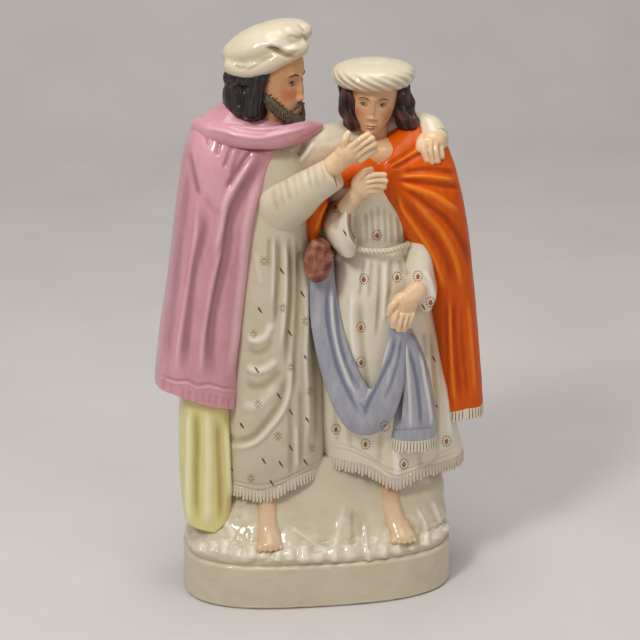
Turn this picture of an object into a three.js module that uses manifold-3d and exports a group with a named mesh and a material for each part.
// Glazed earthenware flatback group: two robed, turbaned figures embracing on an oval stand.
// Millimetres, +Z up, front towards -Y, origin at the centre of the stand's underside.
// Heights in the tables below are measured from the top of the stand.
import * as THREE from "three";
import { mergeVertices } from "three/addons/utils/BufferGeometryUtils.js";
import Module from "manifold-3d";

// Stand
const STAND_WIDTH = 160;
const STAND_DEPTH = 82;
const STAND_HEIGHT = 27;
const STAND_TAPER = 0.8; // the wall leans in by this much at its top edge
const STAND_SQUARENESS = 2.8; // exponent of the oval: 2 is an ellipse
const STAND_FOOT_ROUND = 1.6; // rounding of the lower edge
const SLAB_THICKNESS = 5; // closing slab let into the foot ring
const VENT_RADIUS = 4.5;
const VENT_Y = 14;
const GROUND_INSET = 1.4; // the rocky ground stands in from the stand's edge

// Clay
const WALL = 5; // thickness of the pressed clay
const LUTE_GAP = 0.3; // slip joint between neighbouring pieces
const PARTING_Y = 16; // plane where the front and the back pressing meet
const WIDEST_Y = 5; // plane where the garments are widest

// Trimmings
const FRINGE_LENGTH = 7;
const STRAND_PITCH = 5;
const STRAND_RELIEF = 0.6;
const GIRDLE_RADIUS = 2.1;
const FINGER_RADIUS = 2;
const TOE_RADIUS = 2;
const TURBAN_GADROONS = 18;
const GADROON_RELIEF = 0.55;
const GADROON_SLANT = 0.09; // turn of the gadroons for each mm of height

// Heights of the hems and seams
const ELDER_HEM = 40;
const ELDER_CLOAK_HEM = 94;
const YOUTH_HEM = 44;
const YOUTH_WAIST = 185;
const YOUTH_CLOAK_HEM = 80;
const SASH_END = 72;

// Rows of a body: height, left edge, right edge, front, back
const ELDER_ROBE = [
  [ELDER_HEM, -58, 5, -21, 30],
  [70, -57, 5, -24, 28],
  [120, -54, 4, -25, 26],
  [170, -50, 0, -25, 24],
  [205, -48, -1, -24, 23],
  [232, -46, -1, -21, 20],
  [248, -40, -8, -13, 15],
];
const ELDER_CLOAK = [
  [ELDER_CLOAK_HEM, -93, -43, -24, 26],
  [130, -88.8, -41, -25, 25],
  [166, -83.3, -37, -26, 24],
  [200, -78.5, -30.5, -27, 23],
  [222, -75, -23.5, -26, 21],
  [240, -71.5, -17, -22.5, 18],
  [252, -66, -10, -16, 15],
  [259, -57, -14, -9, 12],
  [264, -50, -26, -3, 9],
];
const ELDER_DRAPE = [
  [14, -77, -54, -19, 28],
  [34, -80.5, -49.5, -19, 27],
  [62, -80.5, -49, -19, 26],
  [90, -79, -50, -19, 25],
  [106, -78, -52, -17, 23],
];
const YOUTH_SKIRT = [
  [YOUTH_HEM, 2, 88, -22, 30],
  [66, 0, 83, -24, 28],
  [100, -1, 77, -25, 26],
  [140, -1, 69, -25, 25],
  [YOUTH_WAIST - 17, 6, 60, -24, 23],
  [YOUTH_WAIST, 13, 51, -20, 21],
];
const YOUTH_BODICE = [
  [YOUTH_WAIST, 13, 51, -20, 21],
  [YOUTH_WAIST + 15, 8, 58, -24, 22],
  [YOUTH_WAIST + 33, 2, 66, -23, 21],
  [YOUTH_WAIST + 48, 0, 67, -18, 18],
  [YOUTH_WAIST + 58, 10, 55, -10, 14],
];
const YOUTH_CLOAK = [
  [YOUTH_CLOAK_HEM, 72, 98, -14, 23],
  [115, 67.5, 94.5, -17, 23],
  [151, 62, 90.3, -20, 23],
  [171, 57, 87.5, -23.5, 23],
  [189, 46, 85, -26, 22],
  [205, 35, 82, -28, 21],
  [218, 27, 79, -28, 19],
  [230, 25, 75.5, -24.5, 17],
  [242, 34, 70, -16, 14],
  [250, 47, 60, -8, 10],
];
const YOUTH_CLOAK_END = [
  [188, -5, -2.5, -19, -6],
  [198, -8.5, 2, -21, 8],
  [210, -9.5, 6, -22, 15],
  [219, -8, 11, -23, 16],
  [224, -5, 24, -24, 16],
  [230, -3, 31, -23, 16],
  [238, 2, 28, -17, 14],
  [246, 8, 18, -8, 9],
];
const YOUTH_RIGHT_SLEEVE = [
  [183, 9, 20, -28, 0],
  [190, 3, 21.5, -30, 5],
  [198, 1, 21, -31, 8],
  [205, 4, 20.5, -31, 9],
  [212, 9, 20, -29, 9],
  [218, 14, 20, -26, 8],
];
const YOUTH_LEFT_SLEEVE = [
  [149, 52, 64, -27, 0],
  [158, 45, 67, -30, 5],
  [172, 45, 66, -28, 8],
  [188, 48, 66, -24, 8],
  [202, 52, 66, -19, 6],
];
const SASH_TAIL = [
  [SASH_END, 39, 67, -31, -14],
  [95, 41, 65, -32, -14],
  [120, 39, 59, -33, -16],
  [142, 37, 49, -34, -20],
];
// The sheet of clay that joins the two backs where the robe and the skirt only meet
const BACK_WEB = [
  [50, -12, 20, 6, 26],
  [120, -12, 18, 6, 24],
  [164, -12, 16, 6, 21],
];
const GROUND_SLOPE = [
  [13, -71, 77.5, -31, 37],
  [22, -62, 76, -24.5, 36],
  [36, -50, 75, -18, 34],
  [54, -36, 56, -10, 28],
];

// Folds of a garment: half-width, how far they stand proud or sink in, then height and x along them
const ELDER_ROBE_FOLDS = [
  [2.2, -1.7, [200, -24], [181, -23.5], [159, -25], [138, -26.5]],
  [2.6, -1.9, [200, -17.4], [158, -17.1], [138, -19], [114, -20.2]],
  [2.6, -1.4, [198, -13.4], [146, -13.2], [117, -15], [96, -15.8]],
  [2.8, -1.5, [168, -6], [140, -4.9], [91, -3.4], [64, -4]],
  [2.6, 1.3, [196, -20], [148, -21], [126, -23]],
  [3, 1.2, [182, -9.8], [122, -8.9], [92, -7.8], [60, -8.6]],
  [2.6, 1.9, [130, -17.8], [113, -17.6], [91, -22.6], [74, -37], [72, -55]],
  [2.8, -1.4, [116, -20.2], [96, -24.4], [79, -38], [77, -55]],
  [4.5, 2, [124, -26], [114, -34.6], [112, -45]],
  [5, 2, [152, -27], [135, -32], [133, -44]],
  [4.5, 1.6, [178, -30], [168, -33], [169, -39]],
  [2.6, -1.9, [80, -18.7], [64, -17.7], [42, -17.6]],
  [2.6, -1.4, [107, -11.7], [79, -11.3], [42, -12.2]],
];
const ELDER_CLOAK_FOLDS = [
  [2.8, -1.9, [246, -36.6], [237, -42.3], [222, -51.6]],
  [3.2, 1.6, [244, -35.5], [224, -47.3], [204, -53.6], [186, -57.7]],
  [3.8, -2.5, [243, -30.5], [215, -45.8], [189, -52.3], [149, -61.3], [113, -63.8]],
  [3, 1.3, [194, -53.8], [173, -59.1], [135, -66.1], [112, -67.7]],
  [4.2, 1.5, [233, -31], [197, -41.3], [148, -46.5], [113, -51]],
  [2.4, -1.4, [246, -70.6], [226, -67.5], [217, -66.1]],
  [3.4, -1.8, [214, -64.6], [190, -67.4], [152, -73.8], [112, -78.8]],
  [2.8, 1.2, [215, -67.4], [178, -72], [135, -79.3], [112, -81.6]],
  [3.2, -1, [237, -73.5], [206, -75.5], [150, -83.7], [112, -87.2]],
  [2.8, -1.5, [214, -32.4], [174, -39.5], [127, -45.2], [100, -47.4]],
];
const YOUTH_SKIRT_FOLDS = [
  [2.2, -1.1, [182, 23.3], [156, 20.7]],
  [2.2, -1, [181, 27.7], [156, 26.3]],
  [2.2, -1.2, [181, 32.1], [146, 31.5], [130, 30.4]],
  [2.2, -1.3, [180, 38.4], [154, 37.4]],
  [2.8, 1.2, [180, 34.9], [140, 34.9]],
  [2.8, -1.2, [160, 21.3], [139, 22], [115, 24.5], [96, 27.5]],
  [3.2, 1.1, [163, 16.8], [139, 16.9], [117, 19.4]],
  [2.4, -1.4, [140, 61.5], [119, 63.8], [94, 66.1], [54, 67.2]],
  [3, 1.1, [131, 68.6], [100, 71.2], [66, 74.6]],
  [4, 1.4, [72, 42.8], [44, 44.6]],
];
const YOUTH_CLOAK_FOLDS = [
  [2.2, -1.6, [226, 40], [222.7, 56.7], [218.8, 77.6]],
  [2.4, -1.5, [228, 42], [230.3, 52], [227, 74]],
  [2.6, -1.7, [223, 41], [210.5, 58], [186, 78.6], [172, 82.4]],
  [3.2, 1.5, [224, 41], [220, 50.6], [215, 62.3], [205, 75.8]],
  [2.4, 1.3, [221, 40.2], [199, 50.5], [176, 63.8], [160, 69.3]],
  [3, -1.5, [217, 43], [197, 56.6], [172, 71.2], [160, 73.8]],
  [3, 1.2, [216, 47.9], [205, 57], [194, 66.7], [177, 74.4], [160, 77.7]],
  [2.2, -1.5, [160, 73.8], [140, 75], [118, 76.8], [84, 80.2]],
  [2.2, 1.2, [155, 71.7], [131, 73], [106, 74.8], [84, 77.4]],
  [2.2, -1.2, [155, 77.9], [128, 79.9], [106, 82.3], [86, 84.8]],
  [2, -1, [161, 68.7], [137, 69.9], [113, 71.2], [84, 72.6]],
  [2.2, 1, [155, 81.9], [130, 84.4], [106, 87], [88, 88.6]],
];
const DRAPE_FOLDS = [
  [2.6, -1.6, [96, -70.6], [48, -71.9], [16, -72.1]],
  [2.8, 1.5, [96, -74.6], [36, -76.9], [16, -76.2]],
  [3, 1.7, [96, -64.5], [35, -65.4], [14, -66.4]],
  [2.4, -1.5, [90, -58.4], [35, -57.9], [16, -59.4]],
];
const BODICE_FOLDS = [
  [2, -1, [236, 22], [184, 25.5]],
  [2, -1, [240, 28], [184, 29.5]],
  [2, -1, [240, 33.5], [184, 33.5]],
  [2, -1, [240, 39], [184, 37.5]],
  [2, -1, [230, 45], [184, 42]],
];

// Glaze and enamel colours
const GLAZE = "#ded8c8";
const FLESH = "#e6c6a0";
const PINK = "#c08799";
const ORANGE = "#d4560f";
const YELLOW = "#d9d184";
const BLUE = "#97a0c2";
const BROWN = "#8a5448";
const BLACK = "#262122";
const PLUM = "#35181c";
const IVORY = "#e7dfcc";

const wasm = await Module();
wasm.setup();

// Surfaces

const FRONT_SIDES = 22; // facets round the modelled front of a body
const BACK_SIDES = 4; // facets round its plain back
const SLAB_SIDES = 28; // facets of the closing slab and of the hole that it fills
const CORE_SIDES = 5; // facets round each half of the hollow inside
const HANG_REACH = 60; // height over which the rise of a hem fades out

const at = (x, y, z) => new THREE.Vector3(x, y, z);
const TOWARDS_FRONT = at(0, -1, 0);

// A closed skin over rings of equal count, each running anticlockwise about the line from first to last
function skin(rings, firstPole = middle(rings[0]), lastPole = middle(rings.at(-1))) {
  const sides = rings[0].length;
  const points = [firstPole, ...rings.flat(), lastPole];
  const index = [];
  const spot = (ring, side) => 1 + ring * sides + (side % sides);
  const last = rings.length - 1;
  for (let side = 0; side < sides; side += 1) {
    index.push(0, spot(0, side + 1), spot(0, side));
    index.push(points.length - 1, spot(last, side), spot(last, side + 1));
    for (let ring = 0; ring < last; ring += 1) {
      index.push(spot(ring, side), spot(ring, side + 1), spot(ring + 1, side + 1));
      index.push(spot(ring, side), spot(ring + 1, side + 1), spot(ring + 1, side));
    }
  }
  const geometry = new THREE.BufferGeometry().setFromPoints(points);
  geometry.setIndex(index);
  return solid(geometry);
}

function middle(ring) {
  return ring.reduce((sum, point) => sum.add(point), at(0, 0, 0)).divideScalar(ring.length);
}

function solid(geometry) {
  const bare = geometry.clone();
  bare.deleteAttribute("normal");
  bare.deleteAttribute("uv");
  const merged = mergeVertices(bare);
  const vertProperties = new Float32Array(merged.attributes.position.array);
  const triVerts = new Uint32Array(merged.index.array);
  return new wasm.Manifold(new wasm.Mesh({ numProp: 3, vertProperties, triVerts }));
}

// Row of a table at a fractional index, on a smooth curve through its neighbours
function smoothRow(table, place) {
  const low = Math.min(Math.floor(place), table.length - 2);
  const f = place - low;
  const row = (index) => table[THREE.MathUtils.clamp(index, 0, table.length - 1)];
  return table[0].map((_, column) => {
    const [a, b, c, d] = [-1, 0, 1, 2].map((step) => row(low + step)[column]);
    const bend = 2 * a - 5 * b + 4 * c - d + (3 * b - a - 3 * c + d) * f;
    return b + 0.5 * f * (c - a + f * bend);
  });
}

const signedPower = (value, power) => Math.sign(value) * Math.abs(value) ** power;

// A body of rings through the rows of a table. `relief` gives how far a point of the front stands proud,
// `hang` how far the hem rises there; `grow` swells the whole body and `sink` lowers it.
function body(table, options = {}) {
  const { grow = 0, sink = 0, steps = 1, frontPower = 2.3, backPower = 4, relief = () => 0 } = options;
  const { widest = WIDEST_Y, frontSides = FRONT_SIDES, backSides = BACK_SIDES, hang = () => 0 } = options;
  const angles = [];
  for (let i = 0; i < backSides; i += 1) angles.push((Math.PI * i) / backSides);
  for (let i = 0; i < frontSides; i += 1) angles.push(Math.PI + (Math.PI * i) / frontSides);
  const rings = [];
  const count = (table.length - 1) * steps;
  for (let ring = 0; ring <= count; ring += 1) {
    const [height, left, right, front, back] = smoothRow(table, ring / steps);
    const end = ring === 0 ? -grow : ring === count ? grow : 0;
    const line = Math.min(widest, (front + back) / 2 + Math.abs(back - front) / 4);
    rings.push(angles.map((angle) => {
      const c = Math.cos(angle);
      const s = Math.sin(angle);
      const power = s < 0 ? frontPower : backPower;
      const halfWidth = (right - left) / 2;
      const depth = s < 0 ? line - front : back - line;
      const x = (left + right) / 2 + halfWidth * signedPower(c, 2 / power);
      const y = line + depth * signedPower(s, 2 / power);
      const normal = at(signedPower(c, 2 - 2 / power) / halfWidth, signedPower(s, 2 - 2 / power) / depth, 0);
      const proud = s < 0 ? relief(x, height, angle) * Math.min(1, -2.5 * s) : 0;
      const low = Math.max(0, 1 - (height - table[0][0]) / HANG_REACH);
      const z = height + hang(x) * low - sink + end;
      return at(x, y, z).addScaledVector(normal.normalize(), grow + proud);
    }));
  }
  return skin(rings);
}

// A limb or roll along a smooth path. `girth` holds half-width and half-thickness pairs along it, the
// thickness measured towards `face`.
function limb(path, girth, options = {}) {
  const { grow = 0, sides = 8, steps = 1, caps = 1, face = TOWARDS_FRONT } = options;
  const curve = new THREE.CatmullRomCurve3(path.map((point) => at(...point)), false, "centripetal");
  const count = (path.length - 1) * steps;
  const ringAt = (t, shrink, shift) => {
    const along = curve.getTangent(t);
    const out = face.clone().addScaledVector(along, -face.dot(along)).normalize();
    const side = out.clone().cross(along);
    const [wide, thick] = smoothRow(girth, t * (girth.length - 1)).map((size) => size + grow);
    const centre = curve.getPoint(t).addScaledVector(along, shift * Math.min(wide, thick));
    const ring = [];
    for (let i = 0; i < sides; i += 1) {
      const angle = (2 * Math.PI * i) / sides;
      const step = side.clone().multiplyScalar(wide * shrink * Math.cos(angle));
      ring.push(step.addScaledVector(out, thick * shrink * Math.sin(angle)).add(centre));
    }
    return { ring, centre };
  };
  const rings = [];
  for (let i = caps; i > 0; i -= 1) {
    const turn = (i * Math.PI) / 2 / (caps + 1);
    rings.push(ringAt(0, Math.cos(turn), -Math.sin(turn)).ring);
  }
  for (let i = 0; i <= count; i += 1) rings.push(ringAt(i / count, 1, 0).ring);
  for (let i = 1; i <= caps; i += 1) {
    const turn = (i * Math.PI) / 2 / (caps + 1);
    rings.push(ringAt(1, Math.cos(turn), Math.sin(turn)).ring);
  }
  return skin(rings, ringAt(0, 0, -1).centre, ringAt(1, 0, 1).centre);
}

// An egg with the given centre and half-sizes, its right side lifted by `turn` degrees
function egg(centre, sizes, { grow = 0, turn = 0, round = 8 } = {}) {
  const geometry = new THREE.SphereGeometry(1, round, Math.round(round * 0.65));
  geometry.rotateX(Math.PI / 2);
  geometry.scale(...sizes.map((size) => size + grow));
  geometry.rotateY(THREE.MathUtils.degToRad(-turn));
  geometry.translate(...centre);
  return solid(geometry);
}

const join = (parts) => parts.reduce((whole, part) => whole.add(part));

// Folds of a garment as relief at a point of its front: soft ridges and hollows along broken lines
function folds(list) {
  const share = (value) => THREE.MathUtils.clamp(value, 0, 1);
  return (x, height) => list.reduce((sum, [halfWidth, rise, ...path]) => {
    let away = Infinity;
    path.slice(1).forEach(([z, foldX], index) => {
      const [startZ, startX] = path[index];
      const [dz, dx] = [z - startZ, foldX - startX];
      const f = share(((height - startZ) * dz + (x - startX) * dx) / (dz * dz + dx * dx));
      away = Math.min(away, Math.hypot(height - startZ - f * dz, x - startX - f * dx));
    });
    return sum + (away < halfWidth ? rise * (0.5 + 0.5 * Math.cos((Math.PI * away) / halfWidth)) : 0);
  }, 0);
}

// Strands of a fringe under the first row of a garment, hung on a band one wall deep
function fringe(table, { grow = 0, sides = 40, hang }) {
  const relief = (x) => STRAND_RELIEF * Math.cos((2 * Math.PI * x) / STRAND_PITCH);
  const outer = body(fringeRows(table, 0), { grow, relief, hang, frontSides: sides });
  return outer.subtract(body(fringeRows(table, WALL), { grow: -WALL, hang }));
}

// The plain space that a fringe takes, band and strands together
function fringeSeat(table, { grow, hang }) {
  return body(fringeRows(table, 0), { grow: grow + STRAND_RELIEF, hang });
}

function fringeRows(table, over) {
  const [hem, ...edges] = table[0];
  return [[hem - FRINGE_LENGTH - over, ...edges], [hem - LUTE_GAP + over, ...edges]];
}

// A hand: a palm and wrist with four fingers and a thumb, each from its knuckle to its tip
function hand({ wrist, palm, size, turn, fingers, thumb }, grow) {
  const digit = ([from, to], radius) => limb([from, to], [[radius, radius], [radius * 0.8, radius * 0.8]],
    { grow, sides: 4, caps: 0 });
  const [wide, thick] = size;
  const forearm = limb([wrist, palm], [[wide * 0.75, thick], [wide * 0.8, thick]], { grow, sides: 6 });
  return join([forearm, egg(palm, size, { grow, turn, round: 7 }), digit(thumb, FINGER_RADIUS * 1.1),
    ...fingers.map((finger) => digit(finger, FINGER_RADIUS))]);
}

// A bare foot under a robe: ankle, instep and five toes
function foot(x, lean, ankle, grow) {
  const face = at(0, -1, 1).normalize();
  const instep = [[x, -8, 42], [x, -15, 28], [x + lean / 2, -23, 15.5], [x + lean, -32, 11.5]];
  const shape = limb(instep, [[ankle, ankle], [ankle, ankle], [6.8, 5], [7.2, 3.2]], { grow, face });
  const toes = [-2, -1, 0, 1, 2].map((step) => egg([x + lean + step * 2.9, -35 + 0.4 * step * step, 10.6],
    [TOE_RADIUS * 0.85, TOE_RADIUS * 1.4, TOE_RADIUS], { grow, round: 5 }));
  return join([shape, ...toes]);
}

// Outline row of the stand, set in from its widest line
const standEdge = (inset) => {
  const halfWidth = STAND_WIDTH / 2 - inset;
  const halfDepth = STAND_DEPTH / 2 - inset;
  return [-halfWidth, halfWidth, -halfDepth, halfDepth];
};
const OVAL = { frontPower: STAND_SQUARENESS, backPower: STAND_SQUARENESS, widest: 0, backSides: 18 };

// Stand

function stand(grow) {
  const rows = [
    [-STAND_HEIGHT, ...standEdge(STAND_FOOT_ROUND)],
    [-STAND_HEIGHT + STAND_FOOT_ROUND, ...standEdge(0)],
    [-STAND_TAPER, ...standEdge(STAND_TAPER / 2)],
    [0, ...standEdge(STAND_TAPER)],
  ];
  return body(rows, { ...OVAL, grow });
}

function standChamber() {
  const rows = [
    [-STAND_HEIGHT - WALL, ...standEdge(WALL + STAND_FOOT_ROUND)],
    [WALL - 1, ...standEdge(WALL + STAND_FOOT_ROUND)],
  ];
  return body(rows, { ...OVAL, frontSides: SLAB_SIDES / 2, backSides: SLAB_SIDES / 2 });
}

function baseSlab() {
  const [, halfWidth, , halfDepth] = standEdge(WALL + STAND_FOOT_ROUND + LUTE_GAP);
  const outline = [];
  for (let i = 0; i < SLAB_SIDES; i += 1) {
    const angle = (2 * Math.PI * i) / SLAB_SIDES;
    const x = halfWidth * signedPower(Math.cos(angle), 2 / STAND_SQUARENESS);
    const y = halfDepth * signedPower(Math.sin(angle), 2 / STAND_SQUARENESS);
    outline.push(new THREE.Vector2(x, y));
  }
  const shape = new THREE.Shape(outline);
  const vent = new THREE.Path().absarc(0, VENT_Y, VENT_RADIUS, 0, 2 * Math.PI, true);
  shape.holes.push(vent);
  const geometry = new THREE.ExtrudeGeometry(shape, { depth: SLAB_THICKNESS, bevelEnabled: false });
  geometry.translate(0, 0, -STAND_HEIGHT);
  return solid(geometry);
}

const GROUND = [
  [LUTE_GAP, ...standEdge(GROUND_INSET + STAND_TAPER)],
  [5, ...standEdge(GROUND_INSET)],
  [9.5, ...standEdge(GROUND_INSET + 4)],
  ...GROUND_SLOPE,
];

function ground(grow) {
  const relief = (x, height) => {
    const ribs = 0.9 * Math.sin(x * 0.5) + 0.6 * Math.sin(x * 0.93 + 1);
    const foot = THREE.MathUtils.clamp((height - 1) / 3, 0, 1);
    const crown = THREE.MathUtils.clamp((26 - height) / 14, 0, 1);
    return ribs * foot * crown;
  };
  return body(GROUND, { ...OVAL, grow, relief, backSides: 6, frontSides: 16 });
}

// Elder

// How far a hem rises at x: each side climbs from the low point by its own height, over its own reach
const climb = (x, low, rise, reach) => rise * (1 - Math.exp(-(((x - low) / reach) ** 2)));
const robeHang = (x) => (x > -33 ? climb(x, -33, 9.5, 14) : climb(x, -33, 2.5, 12));
const cloakHang = (x) => 14 * THREE.MathUtils.clamp((-44 - x) / 40, 0, 1) - 4;
const skirtHang = (x) => (x < 44 ? climb(x, 44, 11, 13) : climb(x, 44, 7.5, 11));
const orangeHang = (x) => 3 * THREE.MathUtils.clamp((x - 74) / 12, 0, 1);
const drapeHang = (x) => (x > -64 ? climb(x, -64, 18, 14) : climb(x, -64, 6, 10));

const elderRobe = (grow) => body(ELDER_ROBE,
  { grow, relief: folds(ELDER_ROBE_FOLDS), hang: robeHang });
const ELDER_FRINGE = { sides: 26, hang: robeHang };
const elderCloak = (grow) => body(ELDER_CLOAK,
  { grow, relief: folds(ELDER_CLOAK_FOLDS), hang: cloakHang, frontPower: 2.7, frontSides: 20 });
const elderDrape = (grow) => body(ELDER_DRAPE,
  { grow, relief: folds(DRAPE_FOLDS), hang: drapeHang, frontPower: 3.4, frontSides: 16 });

function elderCollar(grow) {
  const path = [[-64, 2, 251], [-58, -10, 250.5], [-46, -18, 250.5], [-32, -22, 250], [-18, -21, 250.5],
    [-7, -14, 251.5], [0.5, -8, 251.5]];
  return limb(path, [[5, 4], [6, 4.5], [6.2, 5], [6.2, 5], [6, 5], [5, 4.5], [3, 3]], { grow, sides: 10 });
}

function elderRightSleeve(grow) {
  const path = [[-33, -10, 206], [-25.5, -16, 207.5], [-17, -23, 214], [-7, -30.5, 224], [5.5, -37, 234]];
  return limb(path, [[12, 9], [15, 10], [13.2, 10], [10.4, 9], [8.6, 7.5]], { grow, sides: 10 });
}

const elderRightHand = (grow) => hand({
  wrist: [4, -38, 235],
  palm: [13, -38, 243],
  size: [7.5, 5, 6.5],
  turn: 40,
  fingers: [
    [[15, -39, 247.5], [23.5, -37.5, 253]],
    [[16.5, -39.5, 245], [26.5, -38, 249.5]],
    [[17, -39.5, 241.5], [27.6, -38, 245.5]],
    [[17, -39, 238.5], [25.8, -37.5, 241.5]],
  ],
  thumb: [[9.5, -38, 246], [13.2, -37.5, 254]],
}, grow);

function elderLeftSleeve(grow) {
  const path = [[-22, -4, 232], [-4, -6, 237], [14, 0, 241], [34, 6, 244], [52, 5, 246], [62, 0, 246]];
  return limb(path, [[13, 11], [13, 11], [11, 10], [9.5, 8.5], [9, 8], [8, 7]], { grow, sides: 8 });
}

const elderLeftHand = (grow) => hand({
  wrist: [58, 0, 247],
  palm: [62.2, -9, 246.5],
  size: [9, 9, 9.5],
  turn: 0,
  fingers: [
    [[57.5, -17.5, 243.5], [56.8, -23.5, 237]],
    [[60.8, -18, 243], [60.4, -24, 235.5]],
    [[64, -17.5, 243], [64, -23.5, 235.5]],
    [[67, -15, 243], [67.4, -20.5, 237]],
  ],
  thumb: [[56.5, -12, 249], [53, -18, 243.5]],
}, grow);

function elderHead(grow) {
  return join([
    egg([-23, -2, 274], [15, 13, 17], { grow, round: 10 }),
    egg([-17, -4, 262.5], [9, 8, 7.5], { grow }),
    limb([[-10.5, -4.5, 279], [-8.5, -5.5, 272]], [[1.8, 2], [2.2, 2.4]], { grow, sides: 6 }),
  ]);
}

const elderNeck = (grow) => limb([[-30, 2, 230], [-27, -2, 246], [-23, -4, 262]],
  [[10, 10], [9, 9], [8.5, 8]], { grow });

function elderHair(grow) {
  const temple = [[-42, -8, 278], [-31, -12, 281], [-21, -13.5, 285]];
  return join([
    egg([-37.5, 2, 266], [12.8, 14, 17], { grow, round: 10 }),
    limb(temple, [[5, 4], [4.5, 3], [1.5, 1.2]], { grow, sides: 6 }),
    limb([[-30, -10, 277], [-27, -12.5, 265]], [[4.5, 3], [3, 2.4]], { grow, sides: 6 }),
  ]);
}

function elderBeard(grow) {
  const jaw = [[-26, -12, 265], [-21, -12.5, 258], [-14.5, -10.5, 255], [-9.5, -6.5, 258]];
  return limb(jaw, [[3, 2], [3.6, 2.6], [3.6, 3], [3, 3]], { grow });
}

function elderTurban(grow) {
  const roll = [[-46, -9, 282], [-34, -16, 284], [-19, -16.5, 290], [-7, -8, 297]];
  return join([
    egg([-26, -1, 296.4], [26.2, 18, 10.8], { grow, turn: 18, round: 14 }),
    limb(roll, [[5, 4.5], [5.5, 5], [5, 5], [4.5, 4.5]], { grow, face: at(0, -0.7, -0.7) }),
  ]);
}

// Youth

const youthSkirt = (grow) => body(YOUTH_SKIRT,
  { grow, relief: folds(YOUTH_SKIRT_FOLDS), hang: skirtHang });
const YOUTH_FRINGE = { sides: 32, hang: skirtHang };
const youthBodice = (grow) => body(YOUTH_BODICE, { grow, relief: folds(BODICE_FOLDS) });
const youthCloak = (grow) => body(YOUTH_CLOAK,
  { grow, relief: folds(YOUTH_CLOAK_FOLDS), hang: orangeHang, frontPower: 3, frontSides: 17 });
const CLOAK_FRINGE = { sides: 16, hang: orangeHang };
const youthCloakEnd = (grow) => body(YOUTH_CLOAK_END, { grow, frontSides: 10, backSides: 4 });
const youthRightSleeve = (grow) => body(YOUTH_RIGHT_SLEEVE, { grow, frontSides: 12, backSides: 4 });
const youthLeftSleeve = (grow) => body(YOUTH_LEFT_SLEEVE, { grow, frontSides: 12, backSides: 4 });

const youthRightHand = (grow) => hand({
  wrist: [12, -31, 206],
  palm: [20.5, -32.5, 220],
  size: [7, 5, 8],
  turn: 0,
  fingers: [
    [[23.5, -34, 227], [32, -34, 227.5]],
    [[24, -34.5, 223.5], [32, -34.5, 223]],
    [[23.5, -34.5, 220], [30.6, -34, 219.5]],
    [[22.5, -34, 216.5], [28, -33.5, 216.5]],
  ],
  thumb: [[17, -34, 225.5], [24, -34, 231]],
}, grow);

const youthLeftHand = (grow) => hand({
  wrist: [52, -29, 162],
  palm: [43.5, -33, 156.5],
  size: [7.5, 5, 7.5],
  turn: 20,
  fingers: [
    [[39, -35.5, 152], [35.8, -36, 146]],
    [[41.5, -36, 150.5], [38.6, -36, 143]],
    [[44.3, -36, 150], [41.6, -36, 142.5]],
    [[47, -35, 150.5], [44.8, -35.5, 144]],
  ],
  thumb: [[38, -34, 157], [34, -35, 152.5]],
}, grow);

function youthHead(grow) {
  return join([
    egg([30, -1, 265], [12, 12.5, 15], { grow, round: 10 }),
    egg([29.5, -5.5, 254.5], [8, 7.5, 7], { grow }),
    limb([[29.5, -12.5, 267], [29.3, -15.5, 260]], [[1.6, 1.8], [2.2, 2.4]], { grow, sides: 6 }),
  ]);
}

function youthNeck(grow) {
  return join([
    limb([[34, 4, 226], [32.5, 2, 240], [31, 0, 254]], [[10, 9], [8.5, 8.5], [8.5, 8]], { grow }),
    egg([33, -4, 236], [13, 12, 8], { grow }),
  ]);
}

const youthHairLeft = (grow) => limb([[17, -1, 276], [17, -5, 262], [19, -6, 252.5]],
  [[5, 6], [5.4, 6], [5, 5]], { grow });
const youthHairRight = (grow) => limb([[43.5, -1, 276], [46, -4, 262], [49.5, -6, 251.5]],
  [[6.4, 6.5], [6.8, 6.5], [6, 5.4]], { grow });

function youthTurban(grow) {
  const rows = [
    [271.5, 14, 48, -17, 16],
    [273.5, 10.5, 51.5, -21, 19.5],
    [277.5, 8.5, 53.5, -23, 21.5],
    [281.5, 10, 52, -21.5, 20],
    [284, 15, 47, -16, 15],
    [285.3, 22, 40, -9, 8],
  ];
  const relief = (x, height, angle) => {
    const ends = THREE.MathUtils.clamp((284 - height) / 4, 0, 1);
    return GADROON_RELIEF * ends * Math.cos(TURBAN_GADROONS * (angle + GADROON_SLANT * (height - 278)));
  };
  const round = { frontPower: 2, backPower: 2, widest: 0, backSides: 12 };
  return body(rows, { ...round, grow, relief, frontSides: 20 });
}

function girdle(grow) {
  const knots = [[15, -18, 2], [24, -24, 0.5], [36, -25, 0], [48, -19.5, 1.5]];
  const path = knots.map(([x, y, rise]) => [x, y, YOUTH_WAIST + rise]);
  return limb(path, [[GIRDLE_RADIUS, GIRDLE_RADIUS], [GIRDLE_RADIUS, GIRDLE_RADIUS]], { grow, sides: 8 });
}

const purse = (grow) => egg([-2, -23.6, 181], [8.3, 7, 13.2], { grow, turn: -4 });

function sashLoop(grow) {
  const path = [[1, -12, 178], [1, -17, 160], [5, -22, 132], [14, -26.5, 104], [25, -29, 89],
    [35.5, -31, 102], [41, -32, 126], [42, -32.5, 146]];
  const girth = [[7, 3], [8, 3], [9, 3], [11, 3.2], [12.5, 3.4], [9, 3.2], [6, 3], [5, 3]];
  return limb(path, girth, { grow, steps: 2 });
}

const sashTail = (grow) => body(SASH_TAIL, { grow, frontSides: 14, backSides: 3 });
const TAIL_FRINGE = { sides: 16 };

// Assembly

const trim = (name, table, shape) => [name, (grow) => fringe(table, { ...shape, grow }), GLAZE,
  (grow) => fringeSeat(table, { ...shape, grow })];

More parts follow.
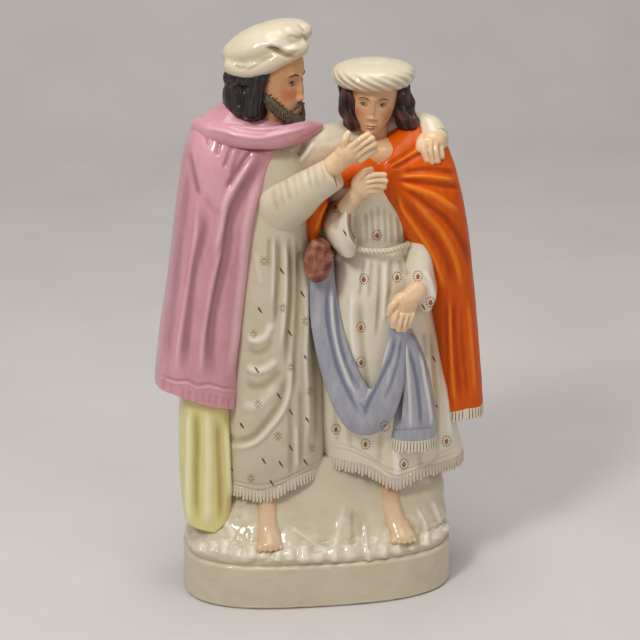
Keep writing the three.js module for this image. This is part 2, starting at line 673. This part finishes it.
// Front to back: a piece is cut round the seat of every piece above it in the list, one slip joint clear.
// The seat is the piece's own shape where no other is given.
const LAYERS = [
  ["elder_right_hand", elderRightHand, FLESH],
  ["youth_right_hand", youthRightHand, FLESH],
  ["youth_left_hand", youthLeftHand, FLESH],
  ["elder_left_hand", elderLeftHand, FLESH],
  ["elder_turban", elderTurban, IVORY],
  ["youth_turban", youthTurban, IVORY],
  ["elder_beard", elderBeard, BLACK],
  ["elder_hair", elderHair, BLACK],
  ["youth_hair_left", youthHairLeft, PLUM],
  ["youth_hair_right", youthHairRight, PLUM],
  ["elder_head", elderHead, FLESH],
  ["youth_head", youthHead, FLESH],
  ["elder_foot", (grow) => foot(-31, 0, 5.8, grow), FLESH],
  ["youth_foot", (grow) => foot(41, 6, 6.6, grow), FLESH],
  ["elder_cloak_collar", elderCollar, PINK],
  ["elder_neck", elderNeck, FLESH],
  ["elder_cloak", elderCloak, PINK],
  ["elder_right_sleeve", elderRightSleeve, GLAZE],
  ["purse", purse, BROWN],
  ["sash_tail", sashTail, BLUE],
  trim("sash_fringe", SASH_TAIL, TAIL_FRINGE),
  ["sash_loop", sashLoop, BLUE],
  ["youth_cloak", youthCloak, ORANGE],
  trim("youth_cloak_fringe", YOUTH_CLOAK, CLOAK_FRINGE),
  ["youth_neck", youthNeck, FLESH],
  ["youth_right_sleeve", youthRightSleeve, GLAZE],
  ["youth_left_sleeve", youthLeftSleeve, GLAZE],
  ["youth_cloak_end", youthCloakEnd, ORANGE],
  ["youth_girdle", girdle, GLAZE],
  ["elder_left_sleeve", elderLeftSleeve, IVORY],
  ["elder_drape", elderDrape, YELLOW],
  ["elder_robe", elderRobe, GLAZE],
  trim("elder_robe_fringe", ELDER_ROBE, ELDER_FRINGE),
  ["youth_bodice", youthBodice, GLAZE],
  ["youth_skirt", youthSkirt, GLAZE],
  trim("youth_skirt_fringe", YOUTH_SKIRT, YOUTH_FRINGE),
  ["ground", ground, GLAZE],
];

// Garments that the plain back closes behind the parting plane
const BACKED = new Set(["elder_cloak", "elder_drape", "elder_robe", "elder_robe_fringe", "youth_bodice",
  "youth_skirt", "youth_skirt_fringe", "youth_cloak", "youth_cloak_fringe", "youth_cloak_end"]);

// Everything behind a plane, as a box larger than the group
function behind(y) {
  const reach = 2 * (STAND_WIDTH + YOUTH_WAIST);
  const geometry = new THREE.BoxGeometry(reach, reach, reach);
  geometry.translate(0, y + reach / 2, 0);
  return solid(geometry);
}

// The hollow that the pressed walls leave, open from the stand to the shoulders
function chamber() {
  const core = (table, shape) => body(table,
    { ...shape, grow: -WALL, sink: WALL, frontSides: CORE_SIDES, backSides: CORE_SIDES });
  const garments = [ELDER_ROBE, ELDER_CLOAK, YOUTH_SKIRT, YOUTH_BODICE, YOUTH_CLOAK];
  return join([standChamber(), core(GROUND, OVAL), ...garments.map((table) => core(table, {}))]);
}

// The largest closed body of a solid: crumbs that a cut leaves behind are dropped
function mainBody(piece) {
  const { vertProperties, triVerts, numProp } = piece.getMesh();
  const owner = Array.from({ length: vertProperties.length / numProp }, (_, index) => index);
  const find = (vertex) => {
    while (owner[vertex] !== vertex) {
      owner[vertex] = owner[owner[vertex]];
      vertex = owner[vertex];
    }
    return vertex;
  };
  for (let i = 0; i < triVerts.length; i += 3) {
    owner[find(triVerts[i + 1])] = find(triVerts[i]);
    owner[find(triVerts[i + 2])] = find(triVerts[i]);
  }
  const groups = new Map();
  for (let i = 0; i < triVerts.length; i += 3) {
    const key = find(triVerts[i]);
    if (!groups.has(key)) groups.set(key, []);
    groups.get(key).push(triVerts[i], triVerts[i + 1], triVerts[i + 2]);
  }
  const [largest] = [...groups.values()].sort((a, b) => b.length - a.length);
  const geometry = new THREE.BufferGeometry();
  geometry.setAttribute("position", new THREE.BufferAttribute(new Float32Array(vertProperties), numProp));
  geometry.setIndex(largest);
  return geometry;
}

function mesh(name, piece, color) {
  const material = new THREE.MeshStandardMaterial({ color, roughness: 0.25, metalness: 0 });
  const result = new THREE.Mesh(mainBody(piece), material);
  result.name = name;
  return result;
}

const touches = (a, b) => {
  const first = a.boundingBox();
  const second = b.boundingBox();
  return [0, 1, 2].every((axis) => first.min[axis] < second.max[axis] && second.min[axis] < first.max[axis]);
};

const group = new THREE.Group();
group.position.z = STAND_HEIGHT;

const hollow = chamber();
const rear = behind(PARTING_Y - LUTE_GAP / 2);
const seats = [];
for (const [name, make, color, seat = make] of LAYERS) {
  let piece = make(0);
  for (const cutter of seats) {
    if (touches(cutter, piece)) piece = piece.subtract(cutter);
  }
  if (BACKED.has(name)) piece = piece.subtract(rear);
  group.add(mesh(name, piece.subtract(hollow), color));
  seats.push(seat(LUTE_GAP));
}

const garments = LAYERS.filter(([name]) => BACKED.has(name)).map(([, make, , seat = make]) => seat(0));
let back = join([...garments, body(BACK_WEB)]).intersect(behind(PARTING_Y + LUTE_GAP / 2));
seats.forEach((cutter, index) => {
  if (!BACKED.has(LAYERS[index][0])) back = back.subtract(cutter);
});
group.add(mesh("back_shell", back.subtract(hollow), GLAZE));
group.add(mesh("stand", stand(0).subtract(standChamber()), GLAZE));
group.add(mesh("base_slab", baseSlab(), GLAZE));

export default group;
